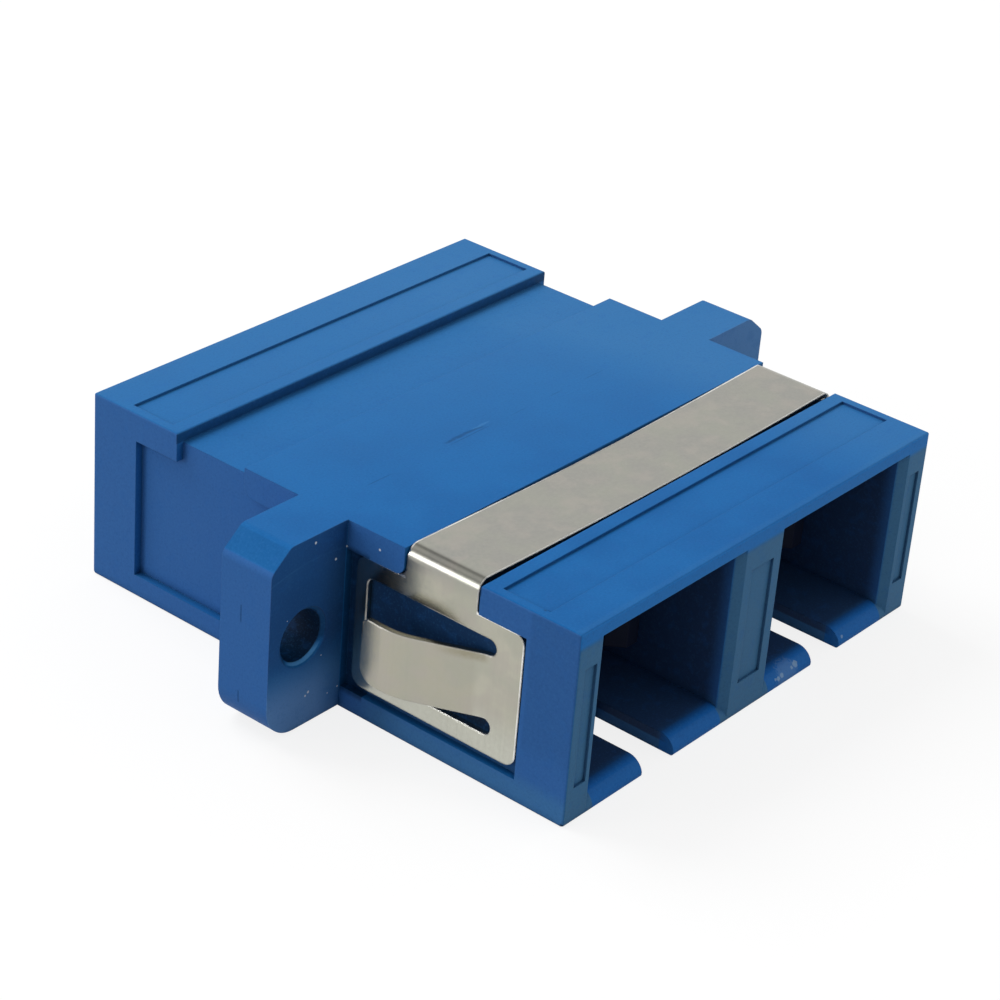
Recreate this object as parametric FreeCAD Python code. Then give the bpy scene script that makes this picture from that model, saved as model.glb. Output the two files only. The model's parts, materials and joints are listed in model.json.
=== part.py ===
import FreeCAD, Part
import os
from math import asin, cos, radians, sin, sqrt, tan

# Duplex SC fibre adapter, all sizes in millimetres.
# Frame: the two ports of the front half open towards -Y, those of the rear half towards +Y,
# X runs across the two ports and Z is up. The origin is on the bottom face, under the middle
# of the flange. The two housing halves are the same moulding, one turned half a turn about Z.

# Housing
PORT_PITCH = 12.7
BODY_WIDTH = 25.7
BODY_HEIGHT = 9.45
HALF_LENGTH = 14.15
AXIS_HEIGHT = 4.65
EDGE_ROUND = 0.1
FRONT_FOOT_ROUND = 0.16

# Flange ears with their screw holes
FLANGE_WIDTH = 34.9
FLANGE_HALF_THICKNESS = 1.45
EAR_CHAMFER_ACROSS = 1.15
EAR_CHAMFER_DOWN = 0.95
EAR_CHAMFER_BLEND = 0.5
EAR_FOOT_ROUND = 1.7
EAR_FOOT_HEIGHT = 0.12
SCREW_SPACING = 30.7
SCREW_HOLE_RADIUS = 1.25
SCREW_HOLE_RELIEF = 0.2

# Channel and pockets that take the clip, measured from the flange middle
CHANNEL_NEAR = 4.68
CHANNEL_FAR = 8.83
CHANNEL_DEPTH = 0.53
POCKET_DEPTH = 0.39
POCKET_FAR = 11.4
POCKET_BOTTOM = 1.1
POCKET_TOP = 8.05
POCKET_CORNER = 0.5

# Shallow panels that core out the collar top and the wall ends
PANEL_DEPTH = 0.12
TOP_PANEL_WIDTH = 24.7
TOP_PANEL_NEAR = 9.6
TOP_PANEL_FAR = 12.1
END_PANEL_BOTTOM = 1.8
END_PANEL_TOP = 7.6
WALL_PANEL_WIDTH = 0.77
WALL_PANEL_INSET = 0.48
DIVIDER_PANEL_WIDTH = 1.6

# Ports
PORT_WIDTH = 9.26
PORT_BOTTOM = 0.9
PORT_TOP = 8.45
MOUTH_CHAMFER = 0.38
FLOOR_LIP_DROP = 0.62
FLOOR_LIP_RUN = 0.8
KEYWAY_WIDTH = 2.25
KEYWAY_LENGTH = 4.3

# Sleeve holders, two to a port, back to back at the flange middle
BASE_WIDTH = 10.2
BASE_HEIGHT = 7.9
BASE_THICKNESS = 1.0
SEAT_PLAY = 0.02
TUBE_RADIUS = 2.35
TUBE_BORE_RADIUS = 1.67
TUBE_LENGTH = 6.35
LIP_BORE_RADIUS = 1.45
LIP_THICKNESS = 0.55
LIP_LEAD = 0.3
HOOK_INSIDE = 3.0
HOOK_THICKNESS = 0.9
HOOK_HEIGHT = 3.8
HOOK_LENGTH = 9.8
HOOK_NOSE = 0.6
HOOK_NOSE_LENGTH = 1.4
HOOK_EASE = 0.15
HOOK_ROOT_ROUND = 0.3

# Split alignment sleeves
SLEEVE_RADIUS = 1.6
SLEEVE_BORE_RADIUS = 1.25
SLEEVE_LENGTH = 11.4
SLEEVE_SLIT = 0.5
SLEEVE_CHAMFER = 0.12

# Spring clip, folded from one strip of sheet steel
SHEET = 0.3
STRAP_NEAR = 4.73
STRAP_FAR = 8.65
STRAP_CROWN = 9.35
STRAP_BOW = 0.2
BEND_RADIUS = 0.6
PLATE_NEAR = 2.0
PLATE_FAR = 11.25
PLATE_BOTTOM = 1.5
PLATE_TOP = 8.03
PLATE_CORNER = 0.6
NECK_REAR_ROUND = 0.45
NECK_FRONT_ROUND = 0.15
SLOT_WIDTH = 0.8
SLOT_END = 9.85
WINDOW_NEAR = 2.65
TONGUE_WIDTH = 3.1
TONGUE_ROOT = 9.8
TONGUE_FOLD = 9.35
TONGUE_ANGLE = 24.6
TONGUE_RUN = 3.65
TONGUE_TIP_RUN = 1.95
TONGUE_TIP_ANGLE = -2.0
TONGUE_TIP_LEAN = 0.16
TONGUE_TOP_CORNER = 0.3
TONGUE_FOOT_CORNER = 0.9
TONGUE_ROOT_BEND = 0.9
TONGUE_CREST_BEND = 3.2

HALF_WIDTH = BODY_WIDTH / 2
PORT_CENTRES = (-PORT_PITCH / 2, PORT_PITCH / 2)
POCKET_FLOOR = HALF_WIDTH - POCKET_DEPTH


def point(x, y, z):
    return FreeCAD.Vector(x, y, z)


def box(x0, x1, y0, y1, z0, z1):
    return Part.makeBox(x1 - x0, y1 - y0, z1 - z0, point(x0, y0, z0))


def cylinder_along_y(radius, x, z, y0, y1):
    return Part.makeCylinder(radius, y1 - y0, point(x, y0, z), point(0, 1, 0))


def cone_along_y(radius0, radius1, x, z, y0, y1):
    return Part.makeCone(radius0, radius1, y1 - y0, point(x, y0, z), point(0, 1, 0))


def prism(corners, along):
    """Solid on a closed outline of straight sides, pushed along a vector."""
    outline = Part.makePolygon(list(corners) + [corners[0]])
    return Part.Face(outline).extrude(along)


def edges_along(shape, axis, keep):
    """Straight edges parallel to an axis whose middle passes the keep test."""
    chosen = []
    for edge in shape.Edges:
        if not isinstance(edge.Curve, Part.Line):
            continue
        if abs(abs(edge.Curve.Direction.dot(axis)) - 1) > 1e-6:
            continue
        if keep(edge.CenterOfMass):
            chosen.append(edge)
    return chosen


def turned_about_z(shape):
    turned = shape.copy()
    turned.rotate(point(0, 0, 0), point(0, 0, 1), 180)
    return turned


def mirrored_in_x(shape):
    return shape.mirror(point(0, 0, 0), point(1, 0, 0))


# ---------------------------------------------------------------- housing halves

def flange():
    """Half of the flange: chamfered at the top corners and rounded at the feet."""
    side = FLANGE_WIDTH / 2
    top = BODY_HEIGHT
    foot = EAR_FOOT_HEIGHT
    outline = [
        point(-side, 0, foot),
        point(side, 0, foot),
        point(side, 0, top - EAR_CHAMFER_DOWN),
        point(side - EAR_CHAMFER_ACROSS, 0, top),
        point(EAR_CHAMFER_ACROSS - side, 0, top),
        point(-side, 0, top - EAR_CHAMFER_DOWN),
    ]
    slab = prism(outline, point(0, -FLANGE_HALF_THICKNESS, 0))
    along_y = point(0, 1, 0)
    feet = edges_along(slab, along_y, lambda m: m.z < foot + 0.01)
    slab = slab.makeFillet(EAR_FOOT_ROUND, feet)
    shoulders = edges_along(slab, along_y, lambda m: m.z > top - EAR_CHAMFER_DOWN - 0.01)
    return slab.makeFillet(EAR_CHAMFER_BLEND, shoulders)


def screw_hole(x):
    """Clearance hole through half of the flange, eased at its outer face."""
    face = -FLANGE_HALF_THICKNESS
    hole = cylinder_along_y(SCREW_HOLE_RADIUS, x, AXIS_HEIGHT, face, 0)
    eased = SCREW_HOLE_RADIUS + SCREW_HOLE_RELIEF
    relief = cone_along_y(eased, SCREW_HOLE_RADIUS, x, AXIS_HEIGHT, face, face + SCREW_HOLE_RELIEF)
    return hole.fuse(relief)


def clip_channel():
    """Band round the top and the upper sides, and the wider pocket in each side."""
    side = HALF_WIDTH
    top = BODY_HEIGHT
    cuts = [box(-side, side, -CHANNEL_FAR, -CHANNEL_NEAR, top - CHANNEL_DEPTH, top)]
    for sign in (-1, 1):
        x0, x1 = sorted((sign * POCKET_FLOOR, sign * side))
        neck = box(x0, x1, -CHANNEL_FAR, -CHANNEL_NEAR, POCKET_TOP, top)
        pocket = box(x0, x1, -POCKET_FAR, -FLANGE_HALF_THICKNESS, POCKET_BOTTOM, POCKET_TOP)
        cut = neck.fuse(pocket).removeSplitter()
        corner = edges_along(cut, point(1, 0, 0), lambda m: abs(m.y + CHANNEL_NEAR) < 0.01
                             and abs(m.z - POCKET_TOP) < 0.01)
        cuts.append(cut.makeFillet(POCKET_CORNER, corner))
    return cuts


def shallow_panels():
    """Sunk panel on the collar top and a narrow one on the end of each upright wall."""
    top = BODY_HEIGHT
    across = TOP_PANEL_WIDTH / 2
    cuts = [box(-across, across, -TOP_PANEL_FAR, -TOP_PANEL_NEAR, top - PANEL_DEPTH, top)]
    outer = HALF_WIDTH - WALL_PANEL_INSET
    spans = [
        (-outer, WALL_PANEL_WIDTH - outer),
        (-DIVIDER_PANEL_WIDTH / 2, DIVIDER_PANEL_WIDTH / 2),
        (outer - WALL_PANEL_WIDTH, outer),
    ]
    for x0, x1 in spans:
        cuts.append(box(x0, x1, -HALF_LENGTH, PANEL_DEPTH - HALF_LENGTH, END_PANEL_BOTTOM, END_PANEL_TOP))
    return cuts


def port_plan(centre):
    """A port seen from above, chamfered at the mouth, pushed up through the whole height."""
    half = PORT_WIDTH / 2
    wide = half + MOUTH_CHAMFER
    inner = MOUTH_CHAMFER - HALF_LENGTH
    outline = [
        point(centre - wide, -HALF_LENGTH, 0),
        point(centre - half, inner, 0),
        point(centre - half, -BASE_THICKNESS, 0),
        point(centre + half, -BASE_THICKNESS, 0),
        point(centre + half, inner, 0),
        point(centre + wide, -HALF_LENGTH, 0),
    ]
    return prism(outline, point(0, 0, BODY_HEIGHT))


def port_side_view(centre):
    """A port seen from the side: chamfered at the roof, with a rounded lip at the floor."""
    left = centre - PORT_PITCH / 2
    radius = (FLOOR_LIP_DROP ** 2 + FLOOR_LIP_RUN ** 2) / (2 * FLOOR_LIP_DROP)
    half_turn = asin(FLOOR_LIP_RUN / radius) / 2
    lip_inner = FLOOR_LIP_RUN - HALF_LENGTH
    lip_middle = point(left, lip_inner - radius * sin(half_turn),
                       PORT_BOTTOM - radius * (1 - cos(half_turn)))
    corners = [
        point(left, lip_inner, PORT_BOTTOM),
        point(left, -BASE_THICKNESS, PORT_BOTTOM),
        point(left, -BASE_THICKNESS, PORT_TOP),
        point(left, MOUTH_CHAMFER - HALF_LENGTH, PORT_TOP),
        point(left, -HALF_LENGTH, PORT_TOP + MOUTH_CHAMFER),
        point(left, -HALF_LENGTH, PORT_BOTTOM - FLOOR_LIP_DROP),
    ]
    edges = [Part.makeLine(start, end) for start, end in zip(corners, corners[1:])]
    edges.append(Part.Arc(corners[-1], lip_middle, corners[0]).toShape())
    face = Part.Face(Part.Wire(Part.__sortEdges__(edges)))
    return face.extrude(point(PORT_PITCH, 0, 0))


def port(centre):
    """Rectangular port with a lead-in on all four sides of its mouth."""
    return port_plan(centre).common(port_side_view(centre))


def base_seat(centre):
    """Recess at the flange middle that traps the base of one sleeve holder."""
    half = BASE_WIDTH / 2 + SEAT_PLAY
    low = AXIS_HEIGHT - BASE_HEIGHT / 2 - SEAT_PLAY
    high = AXIS_HEIGHT + BASE_HEIGHT / 2 + SEAT_PLAY
    return box(centre - half, centre + half, -BASE_THICKNESS, 0, low, high)


def keyway(centre):
    half = KEYWAY_WIDTH / 2
    return box(centre - half, centre + half, -HALF_LENGTH, KEYWAY_LENGTH - HALF_LENGTH, 0, PORT_BOTTOM)


def round_outer_edges(shape):
    """Ease the long outer edges of the end collar."""
    side = HALF_WIDTH
    top = BODY_HEIGHT
    foot = edges_along(shape, point(1, 0, 0), lambda m: m.z < 0.01 and abs(m.y) > HALF_LENGTH - 0.01)
    shape = shape.makeFillet(FRONT_FOOT_ROUND, foot)
    along_x = edges_along(shape, point(1, 0, 0),
                          lambda m: m.z > top - 0.01 and abs(m.y) > CHANNEL_FAR - 0.01)
    along_y = edges_along(shape, point(0, 1, 0),
                          lambda m: abs(m.x) > side - 0.01 and m.z > top - 0.01 and abs(m.y) > CHANNEL_FAR)
    upright = edges_along(shape, point(0, 0, 1),
                          lambda m: abs(m.x) > side - 0.01 and abs(m.y) > HALF_LENGTH - 0.01)
    return shape.makeFillet(EDGE_ROUND, along_x + along_y + upright)


def housing_half():
    """Front half: body, flange, clip channel, two ports with keyways and the holder seats."""
    block = box(-HALF_WIDTH, HALF_WIDTH, -HALF_LENGTH, 0, 0, BODY_HEIGHT)
    shape = block.fuse(flange()).removeSplitter()
    for cut in clip_channel():
        shape = shape.cut(cut)
    shape = round_outer_edges(shape)
    cuts = shallow_panels()
    for centre in PORT_CENTRES:
        cuts += [port(centre), base_seat(centre), keyway(centre)]
    for sign in (-1, 1):
        cuts.append(screw_hole(sign * SCREW_SPACING / 2))
    for cut in cuts:
        shape = shape.cut(cut)
    return shape


# ---------------------------------------------------------------- inside the ports

def holder_tube(centre):
    """Outside of the tube that holds one end of the split sleeve."""
    tip = LIP_LEAD - TUBE_LENGTH
    barrel = cylinder_along_y(TUBE_RADIUS, centre, AXIS_HEIGHT, tip, 0)
    nose = cone_along_y(TUBE_RADIUS - LIP_LEAD, TUBE_RADIUS, centre, AXIS_HEIGHT, -TUBE_LENGTH, tip)
    return barrel.fuse(nose)


def holder_bore(centre):
    """Sleeve bore, stopped by a lip with a lead-in for the ferrule."""
    lip = LIP_THICKNESS - TUBE_LENGTH
    tip = LIP_LEAD - TUBE_LENGTH
    bore = cylinder_along_y(TUBE_BORE_RADIUS, centre, AXIS_HEIGHT, lip, 0)
    mouth = cylinder_along_y(LIP_BORE_RADIUS, centre, AXIS_HEIGHT, -TUBE_LENGTH, lip)
    wide = LIP_BORE_RADIUS + LIP_LEAD
    lead = cone_along_y(wide, LIP_BORE_RADIUS, centre, AXIS_HEIGHT, -TUBE_LENGTH, tip)
    return bore.fuse(mouth).fuse(lead)


def latch_hook(centre, sign):
    """Flexing arm whose sloped nose snaps behind the plug's shoulder."""
    inside = HOOK_INSIDE
    outside = HOOK_INSIDE + HOOK_THICKNESS
    nose = HOOK_INSIDE - HOOK_NOSE
    root = -BASE_THICKNESS
    catch = HOOK_NOSE_LENGTH - HOOK_LENGTH
    outline = [
        (inside, root),
        (outside, root),
        (outside, catch),
        (outside - HOOK_EASE, -HOOK_LENGTH),
        (inside, -HOOK_LENGTH),
        (nose, catch - HOOK_NOSE),
        (nose, catch - HOOK_EASE),
        (inside, catch),
    ]
    low = AXIS_HEIGHT - HOOK_HEIGHT / 2
    corners = [point(centre + sign * x, y, low) for x, y in outline]
    arm = prism(corners, point(0, 0, HOOK_HEIGHT))
    step = HOOK_ROOT_ROUND
    for face in (inside, outside):
        away = -1 if face == inside else 1
        gusset = [(face, root), (face, root - step), (face + away * step, root)]
        corners = [point(centre + sign * x, y, low) for x, y in gusset]
        arm = arm.fuse(prism(corners, point(0, 0, HOOK_HEIGHT)))
    return arm


def sleeve_holder(centre):
    """One-piece moulding: base plate, sleeve tube and a pair of latch hooks."""
    half = BASE_WIDTH / 2
    low = AXIS_HEIGHT - BASE_HEIGHT / 2
    high = AXIS_HEIGHT + BASE_HEIGHT / 2
    shape = box(centre - half, centre + half, -BASE_THICKNESS, 0, low, high)
    shape = shape.fuse(holder_tube(centre))
    for sign in (-1, 1):
        shape = shape.fuse(latch_hook(centre, sign))
    return shape.cut(holder_bore(centre)).removeSplitter()


def split_sleeve(centre):
    """Ceramic sleeve with one slit along its top and eased ends."""
    half = SLEEVE_LENGTH / 2
    inner = half - SLEEVE_CHAMFER
    core = cylinder_along_y(SLEEVE_RADIUS, centre, AXIS_HEIGHT, -inner, inner)
    front = cone_along_y(SLEEVE_RADIUS - SLEEVE_CHAMFER, SLEEVE_RADIUS, centre, AXIS_HEIGHT, -half, -inner)
    rear = cone_along_y(SLEEVE_RADIUS, SLEEVE_RADIUS - SLEEVE_CHAMFER, centre, AXIS_HEIGHT, inner, half)
    body = core.fuse(front).fuse(rear)
    bore = cylinder_along_y(SLEEVE_BORE_RADIUS, centre, AXIS_HEIGHT, -half, half)
    cut = SLEEVE_SLIT / 2
    slit = box(centre - cut, centre + cut, -half, half, AXIS_HEIGHT, AXIS_HEIGHT + SLEEVE_RADIUS)
    return body.cut(bore).cut(slit).removeSplitter()


# ---------------------------------------------------------------- spring clip

def strap_face_edges(depth):
    """Outline of one face of the strap: up one neck, over the bowed top and down the other.

    depth is measured inwards from the outer face."""
    side = POCKET_FLOOR + SHEET - depth
    radius = BEND_RADIUS - depth
    crown = STRAP_CROWN - depth
    shoulder = crown + STRAP_BOW
    foot = (PLATE_BOTTOM + PLATE_TOP) / 2 + TONGUE_WIDTH / 2 + SLOT_WIDTH
    slant = radius * (1 - sqrt(0.5))
    edges = [Part.Arc(point(radius - side, 0, shoulder), point(0, 0, crown),
                      point(side - radius, 0, shoulder)).toShape()]
    for sign in (-1, 1):
        top = point(sign * (side - radius), 0, shoulder)
        halfway = point(sign * (side - slant), 0, shoulder - slant)
        bottom = point(sign * side, 0, shoulder - radius)
        edges.append(Part.Arc(top, halfway, bottom).toShape())
        edges.append(Part.makeLine(bottom, point(sign * side, 0, foot)))
    return edges, [point(sign * side, 0, foot) for sign in (-1, 1)]


def strap():
    """Bowed band over the housing with its two bends and the necks that lead to the plates."""
    outer, outer_feet = strap_face_edges(0)
    inner, inner_feet = strap_face_edges(SHEET)
    closing = [Part.makeLine(start, end) for start, end in zip(inner_feet, outer_feet)]
    outline = Part.Wire(Part.__sortEdges__(outer + inner + closing))
    band = Part.Face(outline).extrude(point(0, STRAP_FAR - STRAP_NEAR, 0))
    band.translate(point(0, -STRAP_FAR, 0))
    return band


def plate_window(x0, x1):
    """Punching round the tongue: the gap at its tip and a slot with a round end on each side."""
    middle = (PLATE_BOTTOM + PLATE_TOP) / 2
    tongue_half = TONGUE_WIDTH / 2
    half = tongue_half + SLOT_WIDTH
    slot_radius = SLOT_WIDTH / 2
    slot_start = slot_radius - SLOT_END
    opening = box(x0, x1, slot_start, -WINDOW_NEAR, middle - half, middle + half)
    corners = edges_along(opening, point(1, 0, 0), lambda m: m.y > -WINDOW_NEAR - 0.01)
    opening = opening.makeFillet(slot_radius, corners)
    root = box(x0, x1, -TONGUE_ROOT, slot_start, middle - tongue_half, middle + tongue_half)
    opening = opening.fuse(root)
    for sign in (-1, 1):
        z = middle + sign * (tongue_half + slot_radius)
        round_end = Part.makeCylinder(slot_radius, x1 - x0, point(x0, slot_start, z), point(1, 0, 0))
        opening = opening.fuse(round_end)
    return opening


def side_plate():
    """Left side plate with rounded corners and its punched window."""
    x0 = -POCKET_FLOOR - SHEET
    x1 = -POCKET_FLOOR
    plate = box(x0, x1, -PLATE_FAR, -PLATE_NEAR, PLATE_BOTTOM, PLATE_TOP)
    plate = plate.makeFillet(PLATE_CORNER, edges_along(plate, point(1, 0, 0), lambda m: True))
    return plate.cut(plate_window(x0, x1))


def left_of(path, distance):
    """The same path moved to the left of its run, with mitred corners."""
    runs = [(end - start).normalize() for start, end in zip(path, path[1:])]
    lefts = [point(-run.y, run.x, 0) for run in runs]
    moved = []
    for corner, before, after in zip(path, lefts[:1] + lefts, lefts + lefts[-1:]):
        mitre = before + after
        moved.append(corner + mitre * (2 * distance / mitre.dot(mitre)))
    return moved


def tongue():
    """Left spring tongue: bent out from its root, then back; its tip edge leans a little."""
    low = (PLATE_BOTTOM + PLATE_TOP - TONGUE_WIDTH) / 2
    slope = radians(TONGUE_ANGLE)
    tip_slope = radians(TONGUE_TIP_ANGLE)
    root = point(-POCKET_FLOOR, -TONGUE_ROOT, low)
    fold = point(-POCKET_FLOOR, -TONGUE_FOLD, low)
    crest = fold + point(-TONGUE_RUN * tan(slope), TONGUE_RUN, 0)
    tip = crest + point(-TONGUE_TIP_RUN * tan(tip_slope), TONGUE_TIP_RUN, 0)
    inner = [root, fold, crest, tip]
    outer = left_of(inner, SHEET)
    band = prism(inner + outer[::-1], point(0, 0, TONGUE_WIDTH))
    up = point(0, 0, 1)
    for near, radius in ((inner[1], TONGUE_ROOT_BEND + SHEET), (outer[1], TONGUE_ROOT_BEND),
                         (inner[2], TONGUE_CREST_BEND), (outer[2], TONGUE_CREST_BEND + SHEET)):
        bend = edges_along(band, up, lambda m: abs(m.x - near.x) < 0.01 and abs(m.y - near.y) < 0.01)
        band = band.makeFillet(radius, bend)
    run = (outer[3] - inner[3]).normalize()
    back = (inner[2] - inner[3]).normalize() * TONGUE_TIP_LEAN
    lean = [tip, tip + up * TONGUE_WIDTH, tip + up * TONGUE_WIDTH + back]
    band = band.cut(prism([corner - run * SHEET for corner in lean], run * (3 * SHEET)))
    for radius, level in ((TONGUE_FOOT_CORNER, low), (TONGUE_TOP_CORNER, low + TONGUE_WIDTH)):
        corner = edges_along(band, run, lambda m: abs(m.y - tip.y) < SHEET
                             and abs(m.z - level) < 0.01)
        band = band.makeFillet(radius, corner)
    return band


def mounting_clip():
    """Strap, side plates and tongues of the clip as one folded piece."""
    left = side_plate().fuse(tongue())
    shape = strap().fuse(left).fuse(mirrored_in_x(left)).removeSplitter()
    along_x = point(1, 0, 0)
    behind = edges_along(shape, along_x, lambda m: abs(m.y + STRAP_NEAR) < 0.01
                         and abs(m.z - PLATE_TOP) < 0.01)
    shape = shape.makeFillet(NECK_REAR_ROUND, behind)
    ahead = edges_along(shape, along_x, lambda m: abs(m.y + STRAP_FAR) < 0.01
                        and abs(m.z - PLATE_TOP) < 0.01)
    return shape.makeFillet(NECK_FRONT_ROUND, ahead)


NODES = {}


def build():
    half = housing_half()
    NODES["front_housing"] = half
    NODES["rear_housing"] = turned_about_z(half)
    for name, centre in zip(("left", "right"), PORT_CENTRES):
        NODES["front_holder_" + name] = sleeve_holder(centre)
        NODES["rear_holder_" + name] = turned_about_z(sleeve_holder(-centre))
        NODES["split_sleeve_" + name] = split_sleeve(centre)
    NODES["mounting_clip"] = mounting_clip()


build()
os.makedirs("parts", exist_ok=True)
for name, shape in NODES.items():
    print(name, shape.isValid(), len(shape.Solids), round(shape.Volume, 2), shape.BoundBox)
    shape.exportStep("parts/" + name + ".step")
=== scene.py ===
import json
from math import cos, radians, sin
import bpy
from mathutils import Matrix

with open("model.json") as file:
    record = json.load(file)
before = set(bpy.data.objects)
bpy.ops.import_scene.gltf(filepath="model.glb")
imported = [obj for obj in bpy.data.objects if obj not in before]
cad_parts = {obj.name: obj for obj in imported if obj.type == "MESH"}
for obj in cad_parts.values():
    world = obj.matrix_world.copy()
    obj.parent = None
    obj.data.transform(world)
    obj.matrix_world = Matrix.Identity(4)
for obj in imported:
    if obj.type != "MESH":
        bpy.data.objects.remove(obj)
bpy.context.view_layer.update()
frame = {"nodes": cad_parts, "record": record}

from types import SimpleNamespace

import bpy
from mathutils import Matrix, Vector

MM = 0.001

# ---------------------------------------------------------------- camera

VIEW_AZIMUTH = -52.444
VIEW_ELEVATION = 29.285
VIEW_ROLL = 4.872
VIEW_DISTANCE = 136.922 * MM
VIEW_LENS = 106.302
VIEW_SHIFT = (-0.00838, 0.00515)
VIEW_SENSOR = 36
VIEW_CLIP = (1 * MM, 10)
TARGET = Vector((0, 0, 4.6 * MM))


def make_camera():
    """Camera fitted to the photo: azimuth and elevation round the target, then a roll."""
    azimuth, elevation = radians(VIEW_AZIMUTH), radians(VIEW_ELEVATION)
    back = Vector((sin(azimuth) * cos(elevation), -cos(azimuth) * cos(elevation), sin(elevation)))
    right = (-back).cross(Vector((0, 0, 1))).normalized()
    up = right.cross(-back)
    c, s = cos(radians(VIEW_ROLL)), sin(radians(VIEW_ROLL))
    across, upward = c * right + s * up, c * up - s * right
    data = bpy.data.cameras.new("camera")
    data.lens = VIEW_LENS
    data.sensor_width = VIEW_SENSOR
    data.shift_x, data.shift_y = VIEW_SHIFT
    data.clip_start, data.clip_end = VIEW_CLIP
    camera = bpy.data.objects.new("camera", data)
    bpy.context.collection.objects.link(camera)
    turn = Matrix((across, upward, back)).transposed().to_4x4()
    camera.matrix_world = Matrix.Translation(TARGET + back * VIEW_DISTANCE) @ turn
    bpy.context.scene.camera = camera


# ---------------------------------------------------------------- node helpers

class Nodes:
    """Short hand for one node tree: each call adds nodes and returns the last one's output."""

    def __init__(self, tree):
        self.tree = tree
        tree.nodes.clear()

    def set(self, socket, value):
        """Link the socket to another socket, or give it a plain value."""
        if isinstance(value, bpy.types.NodeSocket):
            self.tree.links.new(value, socket)
        else:
            socket.default_value = value

    def add(self, kind, inputs=(), out=0, **settings):
        node = self.tree.nodes.new(kind)
        for name, value in settings.items():
            setattr(node, name, value)
        for key, value in dict(inputs).items():
            self.set(node.inputs[key], value)
        return node.outputs[out] if len(node.outputs) else None

    def math(self, operation, a, b=0.0, clamp=False):
        return self.add("ShaderNodeMath", {0: a, 1: b}, operation=operation, use_clamp=clamp)

    def plus(self, a, b):
        return self.math("ADD", a, b)

    def minus(self, a, b):
        return self.math("SUBTRACT", a, b)

    def times(self, total, *factors):
        for factor in factors:
            total = self.math("MULTIPLY", total, factor)
        return total

    def largest(self, total, *others):
        for other in others:
            total = self.math("MAXIMUM", total, other)
        return total

    def unsigned(self, value):
        return self.math("ABSOLUTE", value)

    def ramp(self, value, low, high, start=0.0, end=1.0):
        """Smooth step from start, where value is low, to end, where it is high."""
        return self.add("ShaderNodeMapRange", {"Value": value, "From Min": low, "From Max": high,
                                               "To Min": start, "To Max": end},
                        interpolation_type="SMOOTHSTEP")

    def between(self, value, low, high, soft):
        """1 where value lies between low and high, 0 outside, soft at both ends."""
        return self.times(self.ramp(value, low - soft, low + soft),
                          self.ramp(value, high + soft, high - soft))

    def noise(self, vector, scale, detail=2.0, roughness=0.5):
        return self.add("ShaderNodeTexNoise", {"Vector": vector, "Scale": scale, "Detail": detail,
                                               "Roughness": roughness})

    def wander(self, vector, scale, swing):
        """Noise about zero, half the swing to either side."""
        return self.times(self.minus(self.noise(vector, scale, 2), 0.5), swing)

    def axes(self, vector):
        split = self.tree.nodes.new("ShaderNodeSeparateXYZ")
        self.tree.links.new(vector, split.inputs[0])
        return split.outputs[0], split.outputs[1], split.outputs[2]

    def stretched(self, vector, scale):
        return self.add("ShaderNodeMapping", {"Vector": vector, "Scale": scale})

    def distance(self, a, b):
        return self.add("ShaderNodeVectorMath", {0: a, 1: b}, out=1, operation="DISTANCE")

    def dot(self, a, b):
        return self.add("ShaderNodeVectorMath", {0: a, 1: b}, out=1, operation="DOT_PRODUCT")

    def mix(self, factor, a, b):
        """Colour a, turned into colour b by the factor."""
        node = self.tree.nodes.new("ShaderNodeMix")
        node.data_type = "RGBA"
        self.set(node.inputs[0], factor)
        for socket, colour in ((node.inputs[6], a), (node.inputs[7], b)):
            self.set(socket, colour if isinstance(colour, bpy.types.NodeSocket) else (*colour, 1))
        return node.outputs[2]

    def mix_vectors(self, factor, a, b):
        node = self.tree.nodes.new("ShaderNodeMix")
        node.data_type = "VECTOR"
        for number, value in ((0, factor), (4, a), (5, b)):
            self.set(node.inputs[number], value)
        return node.outputs[1]

    def bump(self, height, strength, depth_mm, normal):
        return self.add("ShaderNodeBump", {"Height": height, "Strength": strength,
                                           "Distance": depth_mm * MM, "Normal": normal})

    def seen(self):
        """1 for the rays that show the background: to the camera, in gloss and through glass."""
        path = self.tree.nodes.new("ShaderNodeLightPath")
        seen = self.plus(path.outputs["Is Camera Ray"], path.outputs["Is Glossy Ray"])
        return self.math("ADD", seen, path.outputs["Is Transmission Ray"], clamp=True)

    def surface(self, shader):
        self.add("ShaderNodeOutputMaterial", {"Surface": shader})

    def principled(self, **inputs):
        """Principled surface; an underscore in a name stands for a space."""
        named = {name.replace("_", " "): value for name, value in inputs.items()}
        self.surface(self.add("ShaderNodeBsdfPrincipled", named))


def new_material(name):
    material = bpy.data.materials.new(name)
    material.use_nodes = True
    return material, Nodes(material.node_tree)


def locate(n):
    """Position on the object in millimetres: at as a vector, its axes, wide = |x|, far = |y|."""
    at = n.stretched(n.add("ShaderNodeTexCoord", out=3), (1 / MM,) * 3)
    x, y, z = n.axes(at)
    return SimpleNamespace(at=at, x=x, y=y, z=z, wide=n.unsigned(x), far=n.unsigned(y))


def edge_mask(n, radius_mm, low, high, keep=1.0):
    """Normal rounded over the edges, and a mask of the edges; both are off where keep is 0."""
    rounded = n.add("ShaderNodeBevel", {"Radius": radius_mm * MM}, samples=3)
    flat = n.add("ShaderNodeNewGeometry", out=3)
    smooth = n.add("ShaderNodeNewGeometry", out=1)
    edge = n.times(n.ramp(n.dot(rounded, flat), high, low), keep)
    return n.mix_vectors(keep, smooth, rounded), edge


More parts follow.
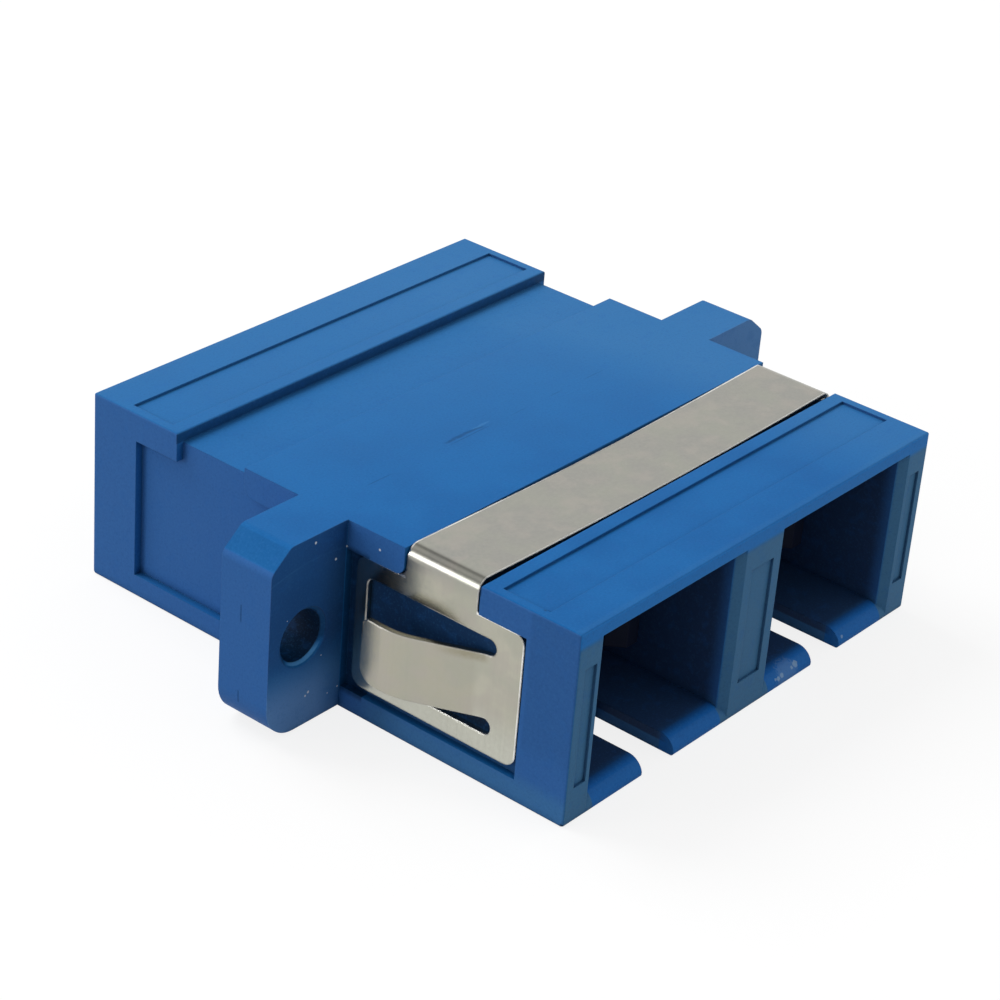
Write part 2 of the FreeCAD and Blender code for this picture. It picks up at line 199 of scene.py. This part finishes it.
def spots(n, at, places, radius_mm, ragged):
    """1 inside small ragged spots, each given as x, y, z in millimetres and a relative size."""
    wobble = n.wander(at, 9.0, ragged)
    total = 0.0
    for x, y, z, size in places:
        away = n.plus(n.math("DIVIDE", n.distance(at, (x, y, z)), size), wobble)
        total = n.largest(total, n.ramp(away, radius_mm * 1.25, radius_mm * 0.75))
    return total


# ---------------------------------------------------------------- plastic

BLUE = (0.009, 0.138, 0.435)
SHEEN_BLUE = (0.037, 0.189, 0.462)
SIDE_LIT_BLUE = (0.040, 0.142, 0.415)
WORN_BLUE = (0.06, 0.24, 0.54)
END_LIGHT_BLUE = (0.082, 0.212, 0.345)
BEAM_HIGHLIGHT_BLUE = (0.024, 0.225, 0.67)
FOOT_LIGHT_BLUE = (0.065, 0.22, 0.43)
PAINTED_LIGHT_BLUE = (0.135, 0.31, 0.66)
PORT_SHADE_BLUE = (0.02, 0.042, 0.11)
LEAD_IN_LIGHT_BLUE = (0.004, 0.155, 0.58)
EAR_SHADE = (0.024, 0.02, 0.10)
NAVY = (0.006, 0.012, 0.03)
WORN_NAVY = (0.02, 0.04, 0.08)
RIM_HIGHLIGHT_BLUE = (0.12, 0.42, 0.85)
CHIP = (0.32, 0.5, 0.72)
LINT = (0.8, 0.88, 0.95)

# Chips and dust on the housing: place in millimetres and relative size
NICKS = [
    (4.1, -14.0, 0.6, 2.1), (3.8, -14.08, 0.56, 1.3), (3.0, -14.08, 0.5, 1.6),
    (2.7, -14.08, 0.45, 1.5), (2.5, -14.1, 0.5, 1.0), (7.82, -14.1, 0.5, 1.2),
    (-7.3, -13.9, 0.7, 0.7), (-5.3, -13.95, 0.65, 0.7),
]
SCUFFED_LIP = [(3.4, -14.1, 0.4, 8.0)]
DUST = [
    (-14.84, -1.45, 9.10, 0.9), (-12.86, -1.45, 8.16, 0.8), (-13.52, -1.45, 7.78, 0.9),
    (-14.88, -1.45, 1.67, 0.9), (-15.06, -1.45, 1.55, 0.7), (-14.16, -1.45, 3.24, 0.5),
    (-13.01, -1.45, 1.14, 0.6), (-13.64, -1.45, 1.06, 0.5), (-16.4, -1.45, 5.9, 0.4),
    (-12.85, -3.29, 8.76, 0.8), (-12.64, -14.03, 9.4, 0.5),
]

# Places on the housing in millimetres; those in wide or far hold on both sides
HOLE = (15.35, 0, 4.65)
HOLE_RADIUS = 1.25
HOLE_RIM = (HOLE_RADIUS - 0.03, HOLE_RADIUS + 0.11)
BODY_SIDE = 12.85
EAR_FACE = 1.45
PORT_WIDE, PORT_HIGH = (1.6, 11.1), (0.5, 8.6)
LEAD_IN_WIDE = (1.8, 10.9)
POCKET_WIDE, POCKET_HIGH, POCKET_LONG = (11.5, 12.5), (1.0, 8.1), (-11.45, -1.9)
BEHIND_EAR_LONG, BEHIND_EAR_HIGH = (-2.75, -1.44), (0.9, 8.2)
STEP_FAR, STEP_HIGH = (8.78, 8.88), (8.95, 9.41)
DASH_LONG, DASHES_HIGH = (0.2, 0.29), ((5.55, 6.4), (1.5, 2.1))
SCRATCH_ACROSS, RAISED_ACROSS = (-4.6, -2.2), (-2.7, -1.6)
TICK_ACROSS, TICK_LONG = (-12.47, -12.15), (-11.95, -11.82)
ARC_TOP, ARC_BEND = (14.8, 8.32), 0.055

# How far each mark takes the colour: 0 not at all, 1 fully
SIDE_LIT_SHARE = 0.85
CHAMFER_SHADE_SHARE = 0.12
STEP_SHADE_SHARE = 0.55
LEAD_IN_LIGHT_SHARE = 0.75
RIM_HIGHLIGHT_SHARE = 0.75
LINE_SHARE = 0.5
ARC_SHARE = 0.14
LIP_SHARE = 0.2
CHIP_SHARE = 0.7
DUST_SHARE = 0.85

# The plastic itself: widths of the scuffed and highlighted edges and of the painted corner shade
# in millimetres, and its relief
PLASTIC_EDGE = 0.06
CORNER_SHADE = 0.45
SCUFF_SHARE = 0.07
GRAIN_STRENGTH, GRAIN_DEPTH = 0.22, 0.02
ROUGHNESS_SPREAD = (-0.06, 0.07)


def shaded(colour, share):
    """The colour darkened to a share of itself."""
    return [c * share for c in colour]


def large_tints(n, p, tone, shadow):
    """Painted light and shade: sheen over the rear and the right, duller side faces, a lighter
    foot low on the front sides, and shade on the front collar's sides, the chamfers and the collar
    steps.
    """
    # Painted sheen: a lighter, greyer tone towards the rear and the right.
    toward_rear = n.plus(n.times(p.x, 0.45), n.times(p.y, 0.85))
    painted_sheen = n.plus(n.ramp(toward_rear, -12.0, 18.0), n.ramp(p.x, 5.0, 11.0, 0.0, 0.55))
    tone = n.mix(painted_sheen, tone, SHEEN_BLUE)
    sideways = n.unsigned(n.axes(n.add("ShaderNodeTexCoord", out=1))[0])
    on_side = n.ramp(sideways, 0.68, 0.8)
    # Painted light: faces that look sideways get their own duller tone, to match how they are lit.
    tone = n.mix(n.times(on_side, SIDE_LIT_SHARE), tone, SIDE_LIT_BLUE)
    # Painted light: the front sides lighter near the bottom.
    foot = n.times(on_side, n.ramp(p.y, -2.0, -4.0), n.ramp(p.z, 1.7, 0.7, 0.0, 0.5))
    tone = n.mix(foot, tone, FOOT_LIGHT_BLUE)
    # Painted shade on the front collar's sides.
    collar = n.times(on_side, n.ramp(p.y, -11.5, -11.7), n.ramp(p.z, 2.0, 3.5, 0.0, 0.12))
    tone = n.mix(collar, tone, shadow)
    # Painted shade on the chamfers at the top.
    chamfer = n.times(n.between(sideways, 0.55, 0.7, 0.03), n.ramp(p.z, 7.4, 7.6))
    tone = n.mix(n.times(chamfer, CHAMFER_SHADE_SHARE), tone, shadow)
    # Painted shade on the steps down from the collars.
    step = n.times(n.between(p.far, *STEP_FAR, 0.01), n.between(p.z, *STEP_HIGH, 0.03))
    return n.mix(n.times(step, STEP_SHADE_SHARE), tone, shadow)


def port_tints(n, p, tone, shade):
    """Painted light on the end faces and on the beam over the ports, painted shade on the port
    walls, and painted light on the lead-ins with less corner shade.
    """
    # Painted shade inside the ports.
    in_port = n.times(n.between(p.wide, *PORT_WIDE, 0.05), n.between(p.z, *PORT_HIGH, 0.05))
    in_port = n.times(in_port, n.ramp(p.far, 13.9, 13.0, 0.0, 0.9))
    # Painted light: the lead-ins at the port floors lighter, with less painted corner shade.
    lead_in = n.times(n.between(p.wide, *LEAD_IN_WIDE, 0.05), n.ramp(p.z, 1.0, 0.92),
                      n.ramp(p.far, 13.3, 13.4))
    # Painted light: a greyer tone on the end faces, to match how they are lit.
    ends = n.times(n.ramp(p.far, 13.75, 13.85, 0.0, 0.7), n.ramp(p.z, 9.0, 8.5, 0.1, 1.0),
                   n.ramp(p.wide, 12.84, 12.78))
    # Painted highlight along the beam over the ports.
    beam = n.times(n.ramp(p.far, 14.1, 14.14, 0.0, 0.8), n.ramp(p.z, 8.6, 8.9))
    tone = n.mix(ends, tone, END_LIGHT_BLUE)
    tone = n.mix(beam, tone, BEAM_HIGHLIGHT_BLUE)
    tone = n.mix(n.times(lead_in, LEAD_IN_LIGHT_SHARE), tone, LEAD_IN_LIGHT_BLUE)
    shade = n.times(shade, n.minus(1.0, n.times(lead_in, 0.8)))
    return n.mix(in_port, tone, PORT_SHADE_BLUE), shade


def recess_tints(n, p, tone, shadow):
    """Painted shadow behind the clip, beside the left ear and in the screw holes, and a painted
    highlight on the holes' lower rims.
    """
    pocket = n.times(n.between(p.wide, *POCKET_WIDE, 0.03), n.between(p.z, *POCKET_HIGH, 0.03),
                     n.between(p.y, *POCKET_LONG, 0.05))
    depth = n.times(n.ramp(p.z, 1.5, 1.9, 0.25, 1.0), n.ramp(p.z, 3.0, 3.6, 0.99, 0.74))
    tone = n.mix(n.times(pocket, depth), tone, shadow)
    behind_ear = n.times(n.ramp(p.wide, BODY_SIDE + 0.02, BODY_SIDE - 0.01),
                         n.between(p.y, *BEHIND_EAR_LONG, 0.05),
                         n.between(p.z, *BEHIND_EAR_HIGH, 0.15), n.ramp(p.x, 1.0, -1.0, 0.0, 0.85))
    tone = n.mix(behind_ear, tone, shadow)
    flat = n.add("ShaderNodeCombineXYZ", {0: p.wide, 2: p.z})
    from_hole = n.distance(flat, HOLE)
    inside = n.times(n.ramp(from_hole, HOLE_RADIUS + 0.11, HOLE_RADIUS + 0.05),
                     n.ramp(p.far, 1.3, 1.2, 0.0, 0.92))
    tone = n.mix(inside, tone, shadow)
    below = n.minus(n.times(n.minus(HOLE[0], p.wide), 0.12), n.times(n.minus(p.z, HOLE[2]), 0.99))
    relief = n.times(n.ramp(from_hole, 1.6, 1.5), n.ramp(p.far, 1.15, 1.2),
                     n.ramp(p.far, EAR_FACE - 0.005, EAR_FACE - 0.01),
                     n.ramp(below, 0.95, 0.55, 0.0, 0.55))
    tone = n.mix(relief, tone, shadow)
    # Painted highlight on the lower part of each hole's rim.
    rim = n.times(n.between(from_hole, *HOLE_RIM, 0.02), n.ramp(below, 0.75, 1.15),
                  n.ramp(p.far, 1.2, 1.25))
    return n.mix(n.times(rim, RIM_HIGHLIGHT_SHARE), tone, RIM_HIGHLIGHT_BLUE)


def ear_tints(n, p, tone, shadow):
    """Front faces of the ears: painted shade above and beside the body, painted light at the left
    one's foot and on the right one's upper part.
    """
    face = n.times(n.ramp(p.wide, 12.86, 12.95), n.ramp(p.y, -1.40, -1.44))
    left, right = n.times(face, n.ramp(p.x, 1.0, -1.0)), n.times(face, n.ramp(p.x, -1.0, 1.0))
    upper = n.times(left, n.ramp(p.z, 2.4, 4.4, 0.0, 0.40))
    # Painted shade beside the body.
    by_the_body = n.times(left, n.ramp(p.wide, 14.6, 13.0, 0.0, 0.3))
    # Painted light: the left ear's front lighter near its foot.
    foot = n.times(left, n.ramp(p.z, 3.9, 1.3, 0.0, 0.95), n.ramp(p.wide, 13.0, 14.6, 0.4, 1.0))
    # Painted light on the upper part of the right ear's front.
    rubbed_and_painted_light = n.times(right, n.ramp(p.z, 4.0, 6.0, 0.0, 0.6))
    tone = n.mix(upper, tone, EAR_SHADE)
    tone = n.mix(by_the_body, tone, shadow)
    tone = n.mix(foot, tone, PAINTED_LIGHT_BLUE)
    return n.mix(rubbed_and_painted_light, tone, PAINTED_LIGHT_BLUE)


def line_marks(n, p, tone, colour):
    """Broken mould seam, dashes on an ear, a scratch on the top, a tick and an arc on the ears."""
    seam = n.times(n.ramp(n.unsigned(n.plus(p.y, n.wander(p.at, 0.8, 0.06))), 0.04, 0.015),
                   n.ramp(n.noise(p.at, 0.45, 1), 0.45, 0.62, 0.03, 0.8),
                   n.ramp(p.wide, 12.9, 12.8, 0.1, 0.9))
    dashes = n.largest(*[n.between(p.z, *high, 0.06) for high in DASHES_HIGH])
    dashes = n.times(n.ramp(p.wide, 17.2, 17.3), n.between(p.y, *DASH_LONG, 0.02), dashes)
    on_top = n.ramp(p.z, 9.3, 9.35)
    line = n.plus(p.y, n.minus(n.times(n.plus(p.x, 3.5), 0.02), 0.22))
    line = n.plus(line, n.wander(p.at, 1.6, 0.3))
    scratch = n.times(n.ramp(n.unsigned(line), 0.11, 0.04),
                      n.between(p.x, *SCRATCH_ACROSS, 0.25), on_top)
    raised = n.times(n.ramp(n.unsigned(n.minus(line, 0.1)), 0.09, 0.03),
                     n.between(p.x, *RAISED_ACROSS, 0.15), on_top)
    tick = n.times(n.between(p.x, *TICK_ACROSS, 0.04), n.between(p.y, *TICK_LONG, 0.04))
    dark = n.largest(dashes, scratch, tick, seam)
    tone = n.mix(n.times(dark, LINE_SHARE), tone, shaded(colour, 0.3))
    tone = n.mix(n.times(raised, LINE_SHARE), tone, WORN_BLUE)
    out = n.minus(p.wide, ARC_TOP[0])
    from_arc = n.unsigned(n.plus(n.minus(p.z, ARC_TOP[1]), n.times(out, out, ARC_BEND)))
    on_ear = n.times(n.between(p.far, 1.42, 1.48, 0.01), n.ramp(p.wide, 12.86, 12.95))
    broken = n.ramp(n.noise(p.at, 1.3, 2), 0.4, 0.6, 0.3, 1.0)
    arc = n.times(n.ramp(from_arc, 0.07, 0.02), on_ear, broken)
    return n.mix(n.times(arc, ARC_SHARE), tone, WORN_BLUE), dark


def housing_marks(n, p, tone, shade, height, colour):
    """Everything that sets the housing apart from plain moulded plastic."""
    shadow = shaded(colour, 0.05)
    tone = large_tints(n, p, tone, shadow)
    tone, shade = port_tints(n, p, tone, shade)
    tone = recess_tints(n, p, tone, shadow)
    tone = ear_tints(n, p, tone, shadow)
    tone, dark = line_marks(n, p, tone, colour)
    chips = spots(n, p.at, NICKS, 0.075, 0.075)
    scuffs = spots(n, p.at, SCUFFED_LIP, 0.09, 0.12)
    specks = spots(n, p.at, DUST, 0.07, 0.06)
    tone = n.mix(n.times(scuffs, LIP_SHARE), tone, CHIP)
    tone = n.mix(n.times(chips, CHIP_SHARE), tone, CHIP)
    tone = n.mix(n.times(specks, DUST_SHARE), tone, LINT)
    return tone, shade, n.minus(height, n.largest(chips, dark))


def moulded_plastic(name, colour, worn_and_lit, roughness, housing):
    """Matte moulded plastic: mottled colour, fine grain, soft edges painted lighter in patches,
    partly as highlights, light scuffs and painted shade in corners.
    """
    material, n = new_material(name)
    p = locate(n)
    off_seam = n.ramp(p.far, 0.1, 0.14)
    rounded, edge = edge_mask(n, PLASTIC_EDGE, 0.86, 0.99, off_seam)
    cloudy = n.noise(p.at, 0.3, 3)
    blotchy = n.noise(p.at, 1.7, 3, 0.6)
    grain = n.noise(p.at, 9.0, 3, 0.65)
    rubbed_and_painted_light = n.noise(n.stretched(p.at, (0.5, 8.0, 0.5)), 1.0, 4, 0.65)
    red, green, blue = colour
    dark = shaded(colour, 0.88)
    light = [red * 1.3 + 0.003, green * 1.14, min(1, blue * 1.05)]
    violet = [red * 1.8 + 0.003, green * 0.94, blue]
    tone = n.mix(n.ramp(cloudy, 0.3, 0.7, 0.2, 0.8), dark, light)
    # Painted shade: corners and creases darkened by ambient occlusion.
    shade = n.add("ShaderNodeAmbientOcclusion", {"Distance": CORNER_SHADE * MM}, out=1, samples=3)
    shade = n.ramp(shade, 0.86, 0.25, 0.0, 0.85)
    height = n.plus(grain, n.times(blotchy, 0.6))
    if housing:
        tone, shade, height = housing_marks(n, p, tone, shade, height, colour)
    blotches = n.ramp(blotchy, 0.52, 0.68, 0.0, 0.16)
    light_grain = n.ramp(grain, 0.5, 0.72, 0.0, 0.16)
    dark_grain = n.ramp(grain, 0.5, 0.28, 0.0, 0.18)
    scuffs = n.times(n.ramp(rubbed_and_painted_light, 0.64, 0.76), SCUFF_SHARE)
    # Edges lighter in patches: part scuffing, part painted highlight.
    wear_and_edge_highlight = n.times(edge, n.ramp(n.noise(p.at, 2.3, 3), 0.35, 0.75, 0.02, 0.3))
    tone = n.mix(blotches, tone, violet)
    tone = n.mix(light_grain, tone, WORN_BLUE if housing else light)
    tone = n.mix(dark_grain, tone, shaded(colour, 0.4))
    tone = n.mix(scuffs, tone, worn_and_lit)
    tone = n.mix(wear_and_edge_highlight, tone, worn_and_lit)
    tone = n.mix(shade, tone, shaded(colour, 0.2))
    uneven = n.plus(n.times(grain, 0.6), n.times(cloudy, 0.4))
    smoothest, roughest = (roughness + spread for spread in ROUGHNESS_SPREAD)
    relief = n.bump(height, GRAIN_STRENGTH, GRAIN_DEPTH, rounded)
    n.principled(Base_Color=tone, Roughness=n.ramp(uneven, 0.2, 0.8, smoothest, roughest),
                 Specular_IOR_Level=0.09, Normal=relief)
    return material


# ---------------------------------------------------------------- steel and ceramic

PLATE_STEEL = (0.452, 0.440, 0.362)
STRAP_STEEL = (0.322, 0.319, 0.292)
TONGUE_STEEL = (0.385, 0.37, 0.298)
LOW_REFLECTION_STEEL = (0.54, 0.545, 0.475)
COOL_STEEL = (0.355, 0.365, 0.305)
WARM_STEEL = (0.40, 0.37, 0.33)
BROWN_STEEL = (0.24, 0.21, 0.13)
BRIGHT_GRAIN = (0.42, 0.41, 0.36)
ROLLED_LINE = (0.34, 0.335, 0.29)
EDGE_AND_HIGHLIGHT_STEEL = (0.93, 0.925, 0.90)
RIM_HIGHLIGHT_STEEL = (0.92, 0.92, 0.89)
ZIRCONIA = (0.78, 0.76, 0.70)
PALE_ZIRCONIA = (0.84, 0.83, 0.79)
EDGE_ZIRCONIA = (0.9, 0.89, 0.86)

# Places on the clip, in millimetres
TONGUE_SIDE = 12.88
STRAP_REAR_EDGE = (4.70, 4.80)
STEEL_EDGE = 0.11


def clip_rim_highlights(n, p):
    """Painted highlights along cut edges: the strap's rear edge, the plates' shoulders and their
    front edges.
    """
    worn_and_lit = n.ramp(n.noise(p.at, 1.1, 2), 0.35, 0.55, 0.45, 0.9)
    strap = n.times(n.between(p.far, *STRAP_REAR_EDGE, 0.015), n.ramp(p.z, 9.0, 9.1))
    beside_neck = n.largest(n.ramp(p.far, 8.6, 8.7), n.ramp(p.far, 4.75, 4.65))
    shoulder, front = n.ramp(p.z, 7.93, 7.97), n.ramp(p.far, 11.17, 11.20)
    on_plate = n.times(n.ramp(p.z, 8.1, 8.05), n.ramp(p.wide, 12.1, 12.15), beside_neck)
    plate = n.times(n.largest(shoulder, front), on_plate)
    return n.times(n.largest(strap, plate), worn_and_lit)


def rolled_steel():
    """Satin stainless sheet: faint rolling lines, warm and cool mottling, cut edges painted bright
    partly as highlights, painted highlights along the rims, a painted reflection low on the plates
    and darker painted tones on the strap and tongue.
    """
    material, n = new_material("rolled_steel")
    p = locate(n)
    rounded, edge = edge_mask(n, STEEL_EDGE, 0.75, 0.98)
    patches = n.noise(p.at, 0.5, 3, 0.55)
    tints = n.noise(p.at, 0.9, 2, 0.5)
    fine = n.noise(p.at, 6.0, 2, 0.5)
    lines = n.noise(n.stretched(p.at, (0.2, 12.0, 0.2)), 1.0, 3, 0.5)
    on_strap, on_tongue = n.ramp(p.z, 8.3, 9.3), n.ramp(p.wide, TONGUE_SIDE, 13.05, 0.0, 0.8)
    cool, warm = n.ramp(patches, 0.4, 0.65, 0.0, 0.5), n.ramp(tints, 0.45, 0.7, 0.0, 0.5)
    # Painted reflection: the plates lighter towards the bottom.
    low = n.times(n.ramp(p.z, 4.2, 2.0, 0.0, 0.85), n.ramp(p.wide, 13.0, 12.9))
    # Browner along the tongue's top edge near its root.
    tongue_root = n.times(n.ramp(p.far, 7.0, 8.6), n.ramp(p.far, 9.6, 9.2),
                          n.ramp(p.z, 5.8, 6.15, 0.0, 0.6), n.ramp(p.z, 6.5, 6.35))
    bright_grain, rolled = n.ramp(fine, 0.3, 0.7, 0.0, 0.2), n.ramp(lines, 0.45, 0.75, 0.0, 0.14)
    # Cut edges painted bright: part bare cut metal, part painted highlight.
    cut_edge_and_highlight = n.times(edge, n.ramp(p.wide, 12.95, TONGUE_SIDE, 0.5, 0.95))
    # Painted light: one steel in three tones, the strap and the tongue darker than the plates, to
    # match how each is lit.
    tone = n.mix(on_strap, PLATE_STEEL, STRAP_STEEL)
    for share, colour in ((on_tongue, TONGUE_STEEL), (cool, COOL_STEEL), (warm, WARM_STEEL),
                          (low, LOW_REFLECTION_STEEL), (tongue_root, BROWN_STEEL),
                          (bright_grain, BRIGHT_GRAIN), (rolled, ROLLED_LINE),
                          (cut_edge_and_highlight, EDGE_AND_HIGHLIGHT_STEEL), (clip_rim_highlights(n, p), RIM_HIGHLIGHT_STEEL)):
        tone = n.mix(share, tone, colour)
    height = n.plus(n.times(fine, 0.5), n.times(lines, 0.5))
    rough = n.ramp(n.plus(n.times(fine, 0.4), n.times(patches, 0.6)), 0.25, 0.75, 0.16, 0.24)
    n.principled(Base_Color=tone, Metallic=1.0, Roughness=rough,
                 Normal=n.bump(height, 0.05, 0.01, rounded))
    return material


def ground_ceramic():
    """Zirconia: off-white, finely ground along its length."""
    material, n = new_material("ground_ceramic")
    at = locate(n).at
    rounded, edge = edge_mask(n, 0.04, 0.9, 0.998)
    rings = n.noise(n.stretched(at, (2.0, 18.0, 2.0)), 1.0, 3)
    tone = n.mix(n.ramp(n.noise(at, 1.2, 2), 0.3, 0.7), ZIRCONIA, PALE_ZIRCONIA)
    tone = n.mix(n.times(edge, 0.5), tone, EDGE_ZIRCONIA)
    n.principled(Base_Color=tone, Roughness=n.ramp(rings, 0.3, 0.7, 0.16, 0.26),
                 Normal=n.bump(rings, 0.1, 0.01, rounded))
    return material


# ---------------------------------------------------------------- stage and light

FLOOR_SIZE = 6.0
FLOOR_DROP = 0.02 * MM
FLOOR_BOUNCE = 0.42
FLOOR_SHADOW = 0.2
FLOOR_WHITE = 0.83


def make_floor():
    """Plain white floor that keeps a soft shadow and can be looked through from below."""
    half = FLOOR_SIZE / 2
    mesh = bpy.data.meshes.new("floor")
    mesh.from_pydata([(-half, -half, 0), (half, -half, 0), (half, half, 0), (-half, half, 0)], [],
                     [(0, 1, 2, 3)])
    floor = bpy.data.objects.new("floor", mesh)
    bpy.context.collection.objects.link(floor)
    floor.location.z = -FLOOR_DROP
    material, n = new_material("floor")
    seen = n.seen()
    grey = n.mix(seen, [FLOOR_BOUNCE] * 3, [FLOOR_SHADOW] * 3)
    lit = n.add("ShaderNodeBsdfDiffuse", {"Color": grey})
    glow = n.add("ShaderNodeEmission", {"Strength": n.times(seen, FLOOR_WHITE)})
    both = n.add("ShaderNodeAddShader", {0: lit, 1: glow})
    clear = n.add("ShaderNodeBsdfTransparent")
    from_below = n.add("ShaderNodeNewGeometry", out=6)
    n.surface(n.add("ShaderNodeMixShader", {0: from_below, 1: both, 2: clear}))
    mesh.materials.append(material)


SKY_FRONT = 0.18
SKY_BACK = 0.46
# Direction, extra light and where it starts, for the two bright sides
SKY_SIDES = [((0.72, -0.66, 0.2), 0.58, 0.1), ((-0.97, 0.12, 0.2), 0.4, 0.3)]
# Dark bands overhead that the bend of the clip mirrors: from and to, along x
SKY_BANDS = [(0.02, 0.40), (-0.62, -0.44)]
BAND_DARK, ZENITH_DARK = 0.6, 0.25


def make_world():
    """Soft surround: white round the horizon, dimmer overhead, and less light from the front."""
    world = bpy.data.worlds.new("world")
    bpy.context.scene.world = world
    world.use_nodes = True
    n = Nodes(world.node_tree)
    toward = n.add("ShaderNodeTexCoord", out=0)
    x, y, up = n.axes(toward)
    bands = n.largest(*[n.between(x, *band, 0.03) for band in SKY_BANDS])
    dark = n.largest(n.times(bands, BAND_DARK), n.ramp(n.unsigned(x), 0.5, 0.4, 0, ZENITH_DARK))
    backdrop = n.minus(1.0, n.times(dark, n.ramp(up, 0.5, 0.58)))
    light = n.ramp(y, -0.8, 0.8, SKY_FRONT, SKY_BACK)
    for side, extra, start in SKY_SIDES:
        light = n.plus(light, n.ramp(n.dot(toward, side), start, 0.95, 0.0, extra))
    shown = n.add("ShaderNodeMix", {0: n.seen(), 2: light, 3: backdrop})
    sky = n.add("ShaderNodeBackground", {"Color": (1, 1, 1, 1), "Strength": shown})
    n.add("ShaderNodeOutputWorld", {"Surface": sky})


LAMP_DISTANCE = 0.5


def area_light(name, direction, size, power, glossy=True):
    """Rectangular lamp that stands in the given direction and faces the target."""
    data = bpy.data.lights.new(name, "AREA")
    data.shape = "RECTANGLE"
    data.size, data.size_y = size
    data.energy = power
    lamp = bpy.data.objects.new(name, data)
    bpy.context.collection.objects.link(lamp)
    toward = Vector(direction).normalized()
    lamp.location = TARGET + toward * LAMP_DISTANCE
    lamp.rotation_mode = "QUATERNION"
    lamp.rotation_quaternion = toward.to_track_quat("Z", "Y")
    lamp.visible_glossy = glossy


# ---------------------------------------------------------------- build

make_camera()
make_floor()
make_world()
area_light("key", direction=(-0.109, 0.617, 0.780), size=(0.27, 0.27), power=1.2, glossy=False)
area_light("strip", direction=(-0.80, 0.532, 0.18), size=(0.115, 0.24), power=0.36)

finishes = {
    "housing": moulded_plastic("housing_blue", BLUE, WORN_BLUE, roughness=0.56, housing=True),
    "holder": moulded_plastic("holder_navy", NAVY, WORN_NAVY, roughness=0.5, housing=False),
    "sleeve": ground_ceramic(),
    "clip": rolled_steel(),
}
for part in frame["record"]["subparts"]:
    node = frame["nodes"][part["node"]]
    finish = finishes[part["material_slot"]]
    if node.material_slots:
        for place in node.material_slots:
            place.material = finish
    else:
        node.data.materials.append(finish)

bpy.context.scene.view_settings.view_transform = "Standard"
